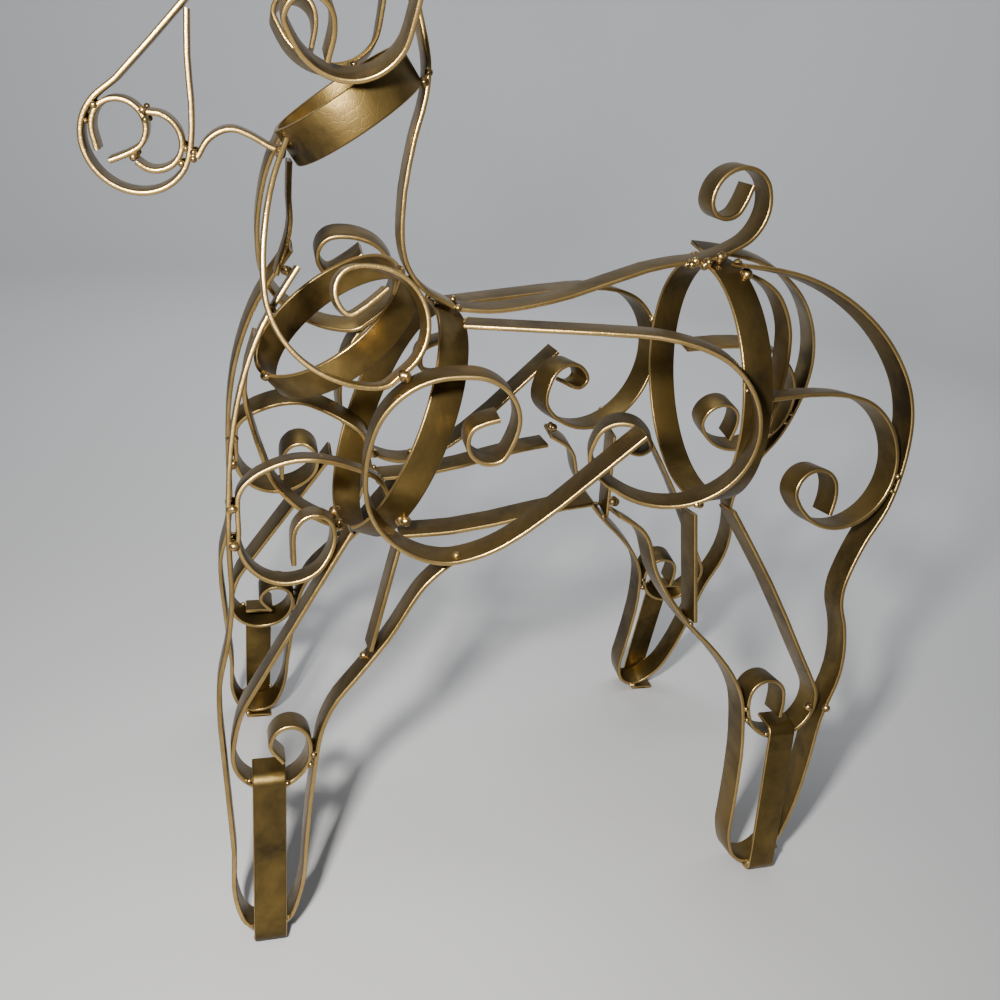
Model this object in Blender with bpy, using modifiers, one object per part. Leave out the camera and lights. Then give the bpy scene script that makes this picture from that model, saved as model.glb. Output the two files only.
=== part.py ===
"""A standing reindeer decoration, welded from bent flat metal strip.

The reindeer faces -X, +Z is up, and its feet stand on z = 0. Every strip is an open ribbon, swept
along its bending line and given its wall with Solidify. The strips of one side lie on gently sloping
panels; the strips of the other side are the same shapes mirrored across the middle plane.
"""

import math

import bmesh
import bpy
from mathutils import Vector

BACK_HEIGHT = 0.330
STRIP_WIDTH = 0.016
STRIP_THICKNESS = 0.0023
COLLAR_STRIP_WIDTH = 0.0175
CLEARANCE = 0.0003
FOOT_ROUNDING = 0.014
STRAP_ROUNDING = 0.005

# The reindeer's shape and its hoops are drawn in 330ths of the height to its back.
DRAWN = BACK_HEIGHT / 330
FRONT_HOOP_HALF_WIDTH = 54 * DRAWN
FRONT_HOOP_YAW = math.radians(5)
REAR_HOOP_HALF_WIDTH = 58 * DRAWN
NECK_RING_HALF_WIDTH = 34 * DRAWN
NECK_RING_YAW = math.radians(16)
COLLAR_RADIUS = 32 * DRAWN
COLLAR_LEAN = math.radians(53)

# A front leg's panel and a rear leg's panel close in by these shares of their rise.
FRONT_LEG_LEAN = 0.205
REAR_LEG_LEAN = 0.155

FACES_PER_ROUND = 25
HOOP_FACES = 36
MOST_STRAY = 0.4
HALF_WIDTH = STRIP_WIDTH / 2
HALF_WALL = STRIP_THICKNESS / 2

GOLD = (0.30, 0.20, 0.075, 1.0)
SIDES = {"near": -1.0, "far": 1.0}


def clear_scene():
    """Remove what the startup scene holds."""
    for obj in list(bpy.data.objects):
        bpy.data.objects.remove(obj, do_unlink=True)


def painted_metal(name, shade):
    """Make the strip's painted metal, a little lighter or darker on each sub-part."""
    material = bpy.data.materials.new(name)
    material.use_nodes = True
    shader = material.node_tree.nodes["Principled BSDF"]
    colour = [channel * shade for channel in GOLD[:3]] + [1.0]
    shader.inputs["Base Color"].default_value = colour
    shader.inputs["Metallic"].default_value = 0.85
    shader.inputs["Roughness"].default_value = 0.42
    material.diffuse_color = colour
    return material


def arc(x, z, radius, start, turn, end_radius=None, step_turn=30):
    """Points of an arc or, with an end radius, of a spiral. Angles in degrees, from +X towards +Z."""
    steps = max(2, math.ceil(abs(turn) / step_turn))
    last = radius if end_radius is None else end_radius
    points = []
    for step in range(steps + 1):
        share = step / steps
        angle = math.radians(start + turn * share)
        reach = radius + (last - radius) * share
        points.append((x + reach * math.cos(angle), z + reach * math.sin(angle)))
    return points


def smooth(points):
    """Sample a smooth curve through the points, finely."""
    led = [points[0], *points, points[-1]]
    fine = []
    for before, first, second, after in zip(led, led[1:], led[2:], led[3:]):
        chord = (second - first).length
        leave = tangent(before, first, second) * chord
        arrive = tangent(first, second, after) * chord
        for step in range(12):
            s = step / 12
            fine.append(
                first * (2 * s**3 - 3 * s**2 + 1)
                + leave * (s**3 - 2 * s**2 + s)
                + second * (3 * s**2 - 2 * s**3)
                + arrive * (s**3 - s**2)
            )
    fine.append(points[-1])
    return fine


def tangent(before, here, after):
    """The direction of the curve at a point, weighted towards the shorter of its two chords."""
    inward = here - before
    outward = after - here
    if inward.length < 1e-9:
        return outward.normalized()
    if outward.length < 1e-9:
        return inward.normalized()
    slope = inward / inward.length**2 + outward / outward.length**2
    return slope.normalized()


def thinned(fine, turn):
    """Keep the points where the line has turned by so much or strays from its chord, and both ends."""
    kept = [0]
    heading = (fine[1] - fine[0]).normalized()
    for index in range(1, len(fine) - 1):
        ahead = (fine[index + 1] - fine[index]).normalized()
        if heading.angle(ahead) >= turn or strays(fine, kept[-1], index + 1):
            kept.append(index)
            heading = ahead
    kept.append(len(fine) - 1)
    return [fine[index] for index in kept]


def strays(fine, first, last):
    """Whether a point between two others lies further from their chord than a strip may be off."""
    chord = fine[last] - fine[first]
    if chord.length < 1e-9:
        return False
    direction = chord.normalized()
    for index in range(first + 1, last):
        offset = fine[index] - fine[first]
        if abs(offset.x * direction.y - offset.y * direction.x) > MOST_STRAY:
            return True
    return False


def ribbon(name, line, across, width, closed=False):
    """Sweep a ribbon of the given width along the line and thicken it to a solid strip."""
    mesh = bpy.data.meshes.new(name)
    grid = bmesh.new()
    rows = []
    for point, direction in zip(line, across):
        shift = direction * (width / 2)
        rows.append((grid.verts.new(point - shift), grid.verts.new(point + shift)))
    count = len(rows) if closed else len(rows) - 1
    for index in range(count):
        low, high = rows[index]
        next_low, next_high = rows[(index + 1) % len(rows)]
        grid.faces.new((low, next_low, next_high, high))
    grid.to_mesh(mesh)
    grid.free()
    strip = bpy.data.objects.new(name, mesh)
    wall = strip.modifiers.new("Wall", "SOLIDIFY")
    wall.thickness = STRIP_THICKNESS
    wall.offset = 0.0
    wall.use_even_offset = True
    return strip


def front_spread(x, z):
    """How far a front leg's panel stands from the middle plane, in drawn units."""
    return 92 - FRONT_LEG_LEAN * z


def chest_spread(x, z):
    """The front leg's panel, tucked in behind the shoulder scroll."""
    return front_spread(x, z) - 0.36 * max(0.0, x + 105)


def rear_facing(x, z):
    """The flat panel that a rear leg's strips face."""
    return 90 - REAR_LEG_LEAN * z


def rear_spread(x, z):
    """A rear leg's panel, which bends in over the rump to the top of the hoop."""
    return rear_facing(x, z) - 0.0030 * max(0.0, z - 270) ** 2


def shoulder_spread(x, z):
    """The shoulder's panel lies outside the front hoop and in front of the flank."""
    return (FRONT_HOOP_HALF_WIDTH + 1.5 * HALF_WIDTH) / DRAWN - 6.3 + 0.075 * (x + 70)


def flank_spread(x, z):
    """The flank's panel spreads from the neck to the outside of the rear hoop."""
    beside_hoop = (REAR_HOOP_HALF_WIDTH + HALF_WALL + CLEARANCE + HALF_WIDTH) / DRAWN
    return beside_hoop + 0.35 + 0.34 * (x - 101)


def belly_spread(x, z):
    """The belly's strip runs behind the shoulder scroll."""
    return 35 + 0.05 * (x + 60)


def neck_spread(x, z):
    """The flat panel that a neck scroll faces, which leans in towards the head."""
    return 34 + STRIP_WIDTH / DRAWN - 0.21 * (z - 290)


def neck_bent_in(x, z):
    """A neck scroll's panel, bent in at its top to the front of the collar."""
    return neck_spread(x, z) - 0.0035 * max(0.0, z - 330) ** 2


def antler_spread(x, z):
    """The antlers stand on the sides of the collar and lean out as they rise."""
    return COLLAR_RADIUS / DRAWN + 5.5 + 0.30 * (z - 406)


def middle(x, z):
    """The strips along the middle plane."""
    return 0.0


def on_panel(spread, x, z, side):
    """The point of a panel at a place of its side view, in metres."""
    return Vector((x * DRAWN, side * spread(x, z) * DRAWN, z * DRAWN))


def panel_normal(spread, x, z, side):
    """The panel's normal there, which is the way the strip's width runs."""
    slope_x = spread(x + 0.5, z) - spread(x - 0.5, z)
    slope_z = spread(x, z + 0.5) - spread(x, z - 0.5)
    return Vector((slope_x * -side, 1.0, slope_z * -side)).normalized()


def panel_strip(name, route, spread, side=0.0, facing=None):
    """A strip bent on a panel through the places of its route, as wide as the way it faces."""
    flat = [Vector((x, z)) for x, z in route]
    line = thinned(smooth(flat), 2 * math.pi / FACES_PER_ROUND)
    points = [on_panel(spread, x, z, side) for x, z in line]
    normals = [panel_normal(facing or spread, x, z, side) for x, z in line]
    return ribbon(name, points, normals, STRIP_WIDTH)


def beyond(first, last, off):
    """The place that lies past the last of two places by so much, on the line through both."""
    length = math.dist(first, last)
    return tuple(end + (end - begin) * off / length for begin, end in zip(first, last))


def hoop(name, ends, half_width, yaw=0.0, width=STRIP_WIDTH):
    """A closed oval of strip between its upper and lower end, yawed about the line between them."""
    upper, lower = (Vector((x * DRAWN, 0.0, z * DRAWN)) for x, z in ends)
    half_length = (upper - lower).length / 2
    along = (upper - lower).normalized()
    level = Vector((along.z, 0.0, -along.x))
    sideways = Vector((0.0, math.cos(yaw), 0.0)) - level * math.sin(yaw)
    axis = level * math.cos(yaw) + Vector((0.0, math.sin(yaw), 0.0))
    line = []
    for step in range(HOOP_FACES):
        angle = 2 * math.pi * step / HOOP_FACES
        outward = sideways * (half_width * math.sin(angle)) + along * (half_length * math.cos(angle))
        line.append((upper + lower) / 2 + outward)
    return ribbon(name, line, [axis] * HOOP_FACES, width, closed=True)


# The leg strips stand on the straps that wrap the feet.
RIM_DROP = HALF_WIDTH * math.sin(math.atan(FRONT_LEG_LEAN))
FOOT_RISE = (STRIP_THICKNESS + CLEARANCE + HALF_WALL + RIM_DROP) / DRAWN
FOOT_ARC = FOOT_ROUNDING / DRAWN
STRIP_GAP = (STRIP_THICKNESS + CLEARANCE) / DRAWN

# Each hoop's upper and lower end, where it crosses the middle plane.
FRONT_HOOP_ENDS = ((-42, 304.4), (-84, 188.8))
REAR_HOOP_ENDS = ((99.5, 334.5), (115.5, 203.5))
NECK_RING_ENDS = ((-63.6, 319.5), (-127, 268.1))
COLLAR_CENTRE = (-92.5, 392)
COLLAR_REACH = (COLLAR_RADIUS * math.sin(COLLAR_LEAN) / DRAWN, COLLAR_RADIUS * math.cos(COLLAR_LEAN) / DRAWN)
COLLAR_ENDS = (
    (COLLAR_CENTRE[0] + COLLAR_REACH[0], COLLAR_CENTRE[1] + COLLAR_REACH[1]),
    (COLLAR_CENTRE[0] - COLLAR_REACH[0], COLLAR_CENTRE[1] - COLLAR_REACH[1]),
)
COLLAR_OVERHANG = COLLAR_STRIP_WIDTH / 2 * math.cos(COLLAR_LEAN) / DRAWN

# What is welded to a ring's end lies off it by a strip and a clearance.
BEHIND_COLLAR = beyond(COLLAR_ENDS[1], COLLAR_ENDS[0], STRIP_GAP)
BEFORE_COLLAR = beyond(COLLAR_ENDS[0], COLLAR_ENDS[1], STRIP_GAP)
UNDER_FRONT_HOOP = beyond(*FRONT_HOOP_ENDS, STRIP_GAP)

FRONT_LEG = (
    [(-115, 326), (-132, 297), (-143, 258), (-146, 215), (-145.5, 168), (-151.5, 134)]
    + [(-151, 112), (-149, 90), (-146, 54)]
    + arc(-130, FOOT_RISE + FOOT_ARC, FOOT_ARC, 190, 160)
    + [(-110, 65), (-106.5, 95), (-101, 118), (-92, 131), (-79, 146), (-64, 167), (-53, 183.5), (-36, 196.3)]
)
FRONT_BRACE = (
    [(-90.5, 208.5), (-108, 179), (-128, 145), (-143, 118)]
    + arc(-127.5, 101, 18.3, 165, 190)
    + arc(-119, 104.5, 9.3, 10, 160)
    + [(-122, 95.5)]
)
FRONT_THIGH = [(-67.7, 201.8), (-73, 182), (-80.5, 150)]
CHEST = (
    [(-69.5, 214.5), (-77, 229.5)]
    + arc(-113.5, 204.5, 40, 50, 90, 36)
    + arc(-120, 207.5, 22, 165, 185)
    + arc(-107.5, 208, 9, 10, 140)
    + [(-117, 194)]
)
REAR_LEG = (
    [(41, 218), (55, 209), (64, 188), (80, 165), (107, 138), (123, 116), (129, 88), (130, 50)]
    + arc(145, FOOT_RISE + FOOT_ARC, FOOT_ARC, 190, 130)
    + [(173, 57), (178, 95), (186, 129), (184, 147), (178, 169), (183, 191), (198, 222), (203, 256)]
    + [(201, 273), (189, 298), (164, 321.5), (138, 333), (112, 337.1), (100, 337.6)]
)
REAR_BRACE = (
    [(104, 219), (124, 191), (147, 155), (167, 120)]
    + arc(151, 107.5, 21.3, 10, -190)
    + arc(140.5, 110.5, 10.8, 180, -180)
    + [(151, 98.5)]
)
REAR_THIGH = [(82, 218), (86, 186), (90, 159)]
HAUNCH = (
    [(115, 276.6), (137, 279)]
    + arc(158, 240, 39.6, 90, -90)
    + arc(163, 238.5, 34, -10, -125, 27)
    + arc(151, 228.5, 12, 180, -180)
    + [(161.5, 216)]
)
SHOULDER = (
    [(42, 266), (23, 247), (6, 231), (-12, 214), (-30, 203), (-47, 199)]
    + arc(-47, 239, 39, 240, -75)
    + arc(-46, 252, 39, 170, -80)
    + arc(-40, 270, 21, 75, -105)
    + arc(-31, 261, 10.5, -55, -150)
    + [(-28, 272)]
)
FLANK = (
    [(-36, 302.8), (4, 306), (39, 307.5)]
    + arc(61, 263, 44, 85, -235, 38)
    + arc(42, 251.5, 13, 170, -160)
    + [(50.5, 250), (44, 251.5)]
)
NECK = (
    [(BEFORE_COLLAR[0], BEFORE_COLLAR[1] + 6.3), (-123.8, 369), (-127, 358), (-130, 338)]
    + arc(-87, 325, 43.5, 175, 110)
    + arc(-84.5, 307, 24, -60, 150)
    + arc(-90.5, 320.5, 10.5, 95, 150)
    + [(-89.5, 313.5), (-78.5, 322.5)]
)
BELLY = [(-64.8, 200), (-40, 202), (-14, 208), (10, 214), (33, 218)]
ANTLER_BEAM = (
    [(-106, 411)]
    + arc(-113.5, 424, 9.3, 0, 185)
    + arc(-98.5, 429.5, 24.5, 200, 160)
    + [(-70, 455), (-60, 490), (-50, 525), (-47, 560)]
    + arc(-68, 575, 21, 0, 190, 16)
    + arc(-73.9, 573.9, 10, 220, 120)
)
ANTLER_FRONT_TINE = (
    [(-65.2, 481.8), (-78, 500), (-95, 509)]
    + arc(-108, 494, 17, 60, 160, 13)
    + arc(-111.9, 490.7, 8, 250, 110)
)
ANTLER_REAR_TINE = (
    [(-51.6, 507.4), (-38, 528), (-18, 544)]
    + arc(-10, 562, 18, -80, 170, 14)
    + arc(-10, 568, 8, 120, 120)
)
FACE = (
    [(-114, 470), (-131, 456), (-152, 433), (-172, 410), (-190, 391)]
    + arc(-180, 371.5, 21.5, 140, 220)
    + [(-159, 400), (-158.5, 422.5)]
)
FRONT_NOSTRIL = [(-195.5, 366)] + arc(-186.5, 376, 10.5, 175, -205) + [(-191, 362)]
REAR_NOSTRIL = arc(-173.5, 371, 11.5, 100, -200) + [(-180.5, 362.5)]
JAW = [(-156, 366), (-151, 374), (-142, 378.5), (-134.5, 376.8), (-127, 373), BEFORE_COLLAR]
NAPE = (
    [(-38.6, 306.4), (-46, 309.7), (-55.4, 315.4), (-63, 325.4), (-66.5, 340), (-65.5, 360), (-63.5, 380)]
    + [(-60.2, 394), (BEHIND_COLLAR[0] + COLLAR_OVERHANG + 0.8, BEHIND_COLLAR[1] - 5), (-61, 420)]
    + [(-67, 438), (-78, 458), (-94, 469), (-113.2, 472)]
)
THROAT_TOP = (BEFORE_COLLAR[0] + 2.6, BEFORE_COLLAR[1] - 3.6)
THROAT = [THROAT_TOP, (-118, 356), (-117, 343), (-120, 330), (-123, 318)]
BREAST = (
    [(-132.5, 289), (-137.6, 266), (-137, 254), (-132, 238), (-125, 216), (-112, 200)]
    + [(UNDER_FRONT_HOOP[0] - 12, UNDER_FRONT_HOOP[1] + 4.2)]
    + [(UNDER_FRONT_HOOP[0], UNDER_FRONT_HOOP[1] - 0.3)]
)
BACK = (
    [(-36, 305.6), (-26, 305), (-14, 306), (6, 310), (65, 331), (104, 341), (116, 350), (120.5, 364)]
    + arc(104, 366, 16, 10, 140)
    + arc(97, 366, 9, 170, 130)
    + [(109, 374)]
)
RUMP = [(109.3, 332.6), (136, 321), (148, 303), (152, 280), (151, 255), (144, 225)]


# Where each hoof strap runs down its leg, and how high it starts.
HOOF_STRAPS = {
    "front_hoof_strap": (-129, 87.4, front_spread),
    "rear_hoof_strap": (152, 90.2, rear_facing),
}


def build_middle():
    """The strips and rings that lie on the middle plane."""
    single = {
        "face_strip": FACE,
        "front_nostril_curl": FRONT_NOSTRIL,
        "rear_nostril_curl": REAR_NOSTRIL,
        "jaw_strip": JAW,
        "nape_strip": NAPE,
        "throat_strip": THROAT,
        "breast_strip": BREAST,
        "back_and_tail_strip": BACK,
        "rump_strip": RUMP,
    }
    pieces = [panel_strip(name, route, middle) for name, route in single.items()]
    hoops = {
        "front_hoop": (FRONT_HOOP_ENDS, FRONT_HOOP_HALF_WIDTH, FRONT_HOOP_YAW),
        "rear_hoop": (REAR_HOOP_ENDS, REAR_HOOP_HALF_WIDTH),
        "neck_ring": (NECK_RING_ENDS, NECK_RING_HALF_WIDTH, NECK_RING_YAW),
        "collar_ring": (COLLAR_ENDS, COLLAR_RADIUS, 0.0, COLLAR_STRIP_WIDTH),
    }
    return pieces + [hoop(name, *shape) for name, shape in hoops.items()]


def build_side(side_name, side):
    """The strips of one side of the reindeer."""
    paired = {
        "front_leg_strip": (FRONT_LEG, front_spread),
        "front_ankle_brace": (FRONT_BRACE, front_spread),
        "front_thigh_brace": (FRONT_THIGH, front_spread),
        "chest_scroll": (CHEST, chest_spread, front_spread),
        "rear_leg_strip": (REAR_LEG, rear_spread, rear_facing),
        "rear_ankle_brace": (REAR_BRACE, rear_facing),
        "rear_thigh_brace": (REAR_THIGH, rear_facing),
        "haunch_scroll": (HAUNCH, rear_spread, rear_facing),
        "shoulder_scroll": (SHOULDER, shoulder_spread),
        "flank_scroll": (FLANK, flank_spread),
        "neck_scroll": (NECK, neck_bent_in, neck_spread),
        "belly_strip": (BELLY, belly_spread),
        "antler_beam": (ANTLER_BEAM, antler_spread),
        "antler_front_tine": (ANTLER_FRONT_TINE, antler_spread),
        "antler_rear_tine": (ANTLER_REAR_TINE, antler_spread),
    }
    return [
        panel_strip(f"{side_name}_{name}", route, spread, side, *facing)
        for name, (route, spread, *facing) in paired.items()
    ]


def hoof_strap(name, x, top, spread, side):
    """The strap that starts over the ankle scroll, runs down outside the leg and wraps under the foot."""
    lean = spread(x, 0) - spread(x, 1)
    low = HALF_WALL
    over = top * DRAWN + HALF_WIDTH * lean + STRIP_THICKNESS + CLEARANCE
    outside = HALF_WIDTH + HALF_WALL + 3 * CLEARANCE
    top_corner = spread(x, top) * DRAWN + outside - STRAP_ROUNDING
    foot_corner = spread(x, FOOT_RISE) * DRAWN + outside - STRAP_ROUNDING
    profile = (
        [(top_corner - 0.6 * STRIP_WIDTH, over)]
        + arc(top_corner, over - STRAP_ROUNDING, STRAP_ROUNDING, 90, -90, step_turn=15)
        + arc(foot_corner, low + STRAP_ROUNDING, STRAP_ROUNDING, 0, -90, step_turn=15)
        + [(foot_corner - 0.9 * STRIP_WIDTH, low)]
    )
    points = [Vector((x * DRAWN, side * y, z)) for y, z in profile]
    return ribbon(name, points, [Vector((1.0, 0.0, 0.0))] * len(points), STRIP_WIDTH)


def dress(pieces):
    """Put every piece in the reindeer's collection and give it its own painted metal."""
    collection = bpy.data.collections.new("reindeer")
    bpy.context.scene.collection.children.link(collection)
    for index, piece in enumerate(pieces):
        collection.objects.link(piece)
        shade = 0.9 + 0.2 * (index % 5) / 4
        piece.data.materials.append(painted_metal(f"{piece.name}_paint", shade))


def build_reindeer():
    """Model the whole reindeer."""
    clear_scene()
    pieces = build_middle()
    for side_name, side in SIDES.items():
        pieces += build_side(side_name, side)
        for name, (x, top, spread) in HOOF_STRAPS.items():
            pieces.append(hoof_strap(f"{side_name}_{name}", x, top, spread, side))
    dress(pieces)


build_reindeer()
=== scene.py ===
"""The looks of the standing reindeer: smooth painted strips, weld beads and a pale studio.

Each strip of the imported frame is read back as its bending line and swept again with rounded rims.
The welds sit where two strips come close, so they follow the frame too.
"""

import logging
import math
from collections import Counter
from collections.abc import Iterable
from dataclasses import dataclass, field
from enum import Enum

import bpy
import numpy as np
from mathutils import Matrix, Vector
from mathutils.kdtree import KDTree


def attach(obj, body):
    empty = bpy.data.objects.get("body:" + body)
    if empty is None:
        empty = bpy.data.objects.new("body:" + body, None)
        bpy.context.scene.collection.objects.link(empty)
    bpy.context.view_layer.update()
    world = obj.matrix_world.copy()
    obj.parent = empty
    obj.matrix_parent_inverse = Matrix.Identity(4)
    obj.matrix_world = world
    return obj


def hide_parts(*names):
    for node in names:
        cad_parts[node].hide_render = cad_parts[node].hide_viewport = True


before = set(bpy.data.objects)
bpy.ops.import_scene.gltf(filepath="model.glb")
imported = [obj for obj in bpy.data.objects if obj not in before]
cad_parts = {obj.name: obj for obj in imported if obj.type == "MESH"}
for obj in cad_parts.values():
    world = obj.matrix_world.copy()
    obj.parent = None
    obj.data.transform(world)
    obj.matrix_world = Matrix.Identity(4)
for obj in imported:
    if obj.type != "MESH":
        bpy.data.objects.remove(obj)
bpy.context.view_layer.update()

BODY = "root"
MILLIMETRE = 0.001

log = logging.getLogger("reindeer")

Drop = tuple[np.ndarray, float]
Box = tuple[np.ndarray, np.ndarray]
Triple = tuple[float, float, float]


class Side(Enum):
    """The two sides of the reindeer. The photograph's camera looks at the near one."""

    NEAR = "near"
    FAR = "far"


class Weld(Enum):
    """How much metal a weld has: lumps along the seam, and drops thrown round it."""

    TACK = (2, 3)
    LUMP = (4, 8)
    CRAGGY = (8, 20)

    @property
    def lumps(self) -> int:
        """How many lumps lie along the seam."""
        return self.value[0]

    @property
    def spatter(self) -> int:
        """How many small drops lie round the seam."""
        return self.value[1]


class Data(Enum):
    """The kinds of socket that the trees use."""

    NUMBER = "NodeSocketFloat"
    COUNT = "NodeSocketInt"
    VECTOR = "NodeSocketVector"
    SHAPE = "NodeSocketGeometry"
    FINISH = "NodeSocketMaterial"


@dataclass
class Tree:
    """A node tree under construction, with short ways to add and join nodes."""

    tree: bpy.types.NodeTree

    @classmethod
    def shader_group(cls, name: str) -> "Tree":
        """Start an empty shader node group of that name."""
        return cls(bpy.data.node_groups.new(name, "ShaderNodeTree"))

    @classmethod
    def geometry(cls, name: str) -> "Tree":
        """Start an empty geometry node tree of that name."""
        return cls(bpy.data.node_groups.new(name, "GeometryNodeTree"))

    def takes(self, name: str, kind: Data, value: object = None) -> None:
        """Add a named input.

        Args:
            name: The input's name.
            kind: What it carries.
            value: Its value where nothing is joined to it.
        """
        socket = self.tree.interface.new_socket(name, in_out="INPUT", socket_type=kind.value)
        if value is not None:
            socket.default_value = value

    def gives(self, name: str, kind: Data) -> None:
        """Add a named output."""
        self.tree.interface.new_socket(name, in_out="OUTPUT", socket_type=kind.value)

    def node(self, kind: str, settings: dict[str, object] | None = None, **inputs: object) -> bpy.types.Node:
        """Add a node.

        Args:
            kind: Blender's name for the node's type.
            settings: The node's own settings.
            inputs: For each input, by name with _ for a space or by i and its number, a value or a socket.

        Returns:
            The new node.
        """
        made = self.tree.nodes.new(kind)
        for key, value in (settings or {}).items():
            setattr(made, key, value)
        for key, value in inputs.items():
            numbered = key[0] == "i" and key[1:].isdigit()
            socket = made.inputs[int(key[1:])] if numbered else made.inputs[key.replace("_", " ")]
            if isinstance(value, bpy.types.NodeSocket):
                self.tree.links.new(value, socket)
            else:
                socket.default_value = value
        return made

    def math(self, operation: str, *values: object) -> bpy.types.NodeSocket:
        """Add a Math node and return its result."""
        inputs = {f"i{index}": value for index, value in enumerate(values)}
        return self.node("ShaderNodeMath", {"operation": operation}, **inputs).outputs[0]

    def clamped(self, value: bpy.types.NodeSocket, low: float, high: float) -> bpy.types.NodeSocket:
        """Stretch the range low to high of a value to 0 to 1, and cut off what lies outside it."""
        inputs = {"Value": value, "From_Min": low, "From_Max": high}
        return self.node("ShaderNodeMapRange", {"clamp": True}, **inputs).outputs["Result"]


class Effects:
    """The shader groups that the finishes share. Each is built once."""

    def __init__(self) -> None:
        """Build every group."""
        self.highlight_and_wear = self._rim_highlight_and_wear()
        self.mottle = self._mottling()
        self.grain = self._paint_grain()

    @staticmethod
    def _rim_highlight_and_wear() -> bpy.types.NodeTree:
        """Build the mask of the rim crowns and of the painted shade band beside them. The crowns are
        lightened partly as edge wear that handling has polished and partly as a painted highlight of the key
        light.

        Returns:
            The group: Rim and Break Up in, Mask of the crown and the painted shade band beside it out.
        """
        group = Tree.shader_group("rim_highlight_and_wear")
        group.takes("Rim", Data.NUMBER, 0.0)
        group.takes("Break Up", Data.NUMBER, 0.5)
        group.gives("Mask", Data.NUMBER)
        group.gives("Border", Data.NUMBER)
        start = group.node("NodeGroupInput")
        place = group.node("ShaderNodeTexCoord")
        patch = group.node(
            "ShaderNodeTexNoise", Vector=place.outputs["Object"], Scale=55.0, Detail=3.0, Roughness=0.6
        )
        broken_patches = group.clamped(patch.outputs["Fac"], 0.35, 0.7)
        holes = group.math("MULTIPLY", broken_patches, start.outputs["Break Up"])
        kept = group.math("SUBTRACT", 1.0, holes)
        # Rim crown: partly real edge wear, partly a painted highlight of the key light on the rounded rim.
        # Noise breaks it up.
        crown = group.clamped(start.outputs["Rim"], 0.45, 0.8)
        mask = group.math("MULTIPLY", crown, kept)
        # Band beside the crown: painted shade of the rim's rounding.
        started = group.clamped(start.outputs["Rim"], 0.0, 0.3)
        border = group.math("MULTIPLY", started, group.math("SUBTRACT", 1.0, crown))
        group.node("NodeGroupOutput", Mask=mask, Border=border)
        return group.tree

    @staticmethod
    def _mottling() -> bpy.types.NodeTree:
        """Build the cloudy variation of sprayed paint over steel.

        Returns:
            The group: Patch Scale in, Clouds out.
        """
        group = Tree.shader_group("mottling")
        group.takes("Patch Scale", Data.NUMBER, 30.0)
        group.gives("Clouds", Data.NUMBER)
        start = group.node("NodeGroupInput")
        place = group.node("ShaderNodeTexCoord")
        cloud = group.node(
            "ShaderNodeTexNoise",
            Vector=place.outputs["Object"],
            Scale=start.outputs["Patch Scale"],
            Detail=4.0,
            Roughness=0.62,
            Distortion=0.4,
        )
        group.node("NodeGroupOutput", Clouds=group.clamped(cloud.outputs["Fac"], 0.36, 0.68))
        return group.tree

    @staticmethod
    def _paint_grain() -> bpy.types.NodeTree:
        """Build the fine roughness of the paint film, with a few nibs.

        Returns:
            The group: Film Strength and Nib Strength in, Normal out.
        """
        group = Tree.shader_group("paint_grain")
        group.takes("Film Strength", Data.NUMBER, 0.2)
        group.takes("Nib Strength", Data.NUMBER, 0.3)
        group.gives("Normal", Data.VECTOR)
        start = group.node("NodeGroupInput")
        place = group.node("ShaderNodeTexCoord")
        film = group.node("ShaderNodeTexNoise", Vector=place.outputs["Object"], Scale=1400.0, Detail=3.0)
        wave = group.node("ShaderNodeTexNoise", Vector=place.outputs["Object"], Scale=160.0, Detail=1.0)
        nib = group.node(
            "ShaderNodeTexVoronoi",
            {"feature": "DISTANCE_TO_EDGE"},
            Vector=place.outputs["Object"],
            Scale=260.0,
        )
        pits = group.clamped(nib.outputs["Distance"], 0.0, 0.06)
        under = group.node(
            "ShaderNodeBump",
            Strength=start.outputs["Film Strength"],
            Distance=0.0006,
            Height=wave.outputs["Fac"],
        )
        middle = group.node(
            "ShaderNodeBump",
            Strength=start.outputs["Film Strength"],
            Distance=0.00018,
            Height=film.outputs["Fac"],
            Normal=under.outputs["Normal"],
        )
        top = group.node(
            "ShaderNodeBump",
            Strength=start.outputs["Nib Strength"],
            Distance=0.00012,
            Height=pits,
            Normal=middle.outputs["Normal"],
        )
        group.node("NodeGroupOutput", Normal=top.outputs["Normal"])
        return group.tree


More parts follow.
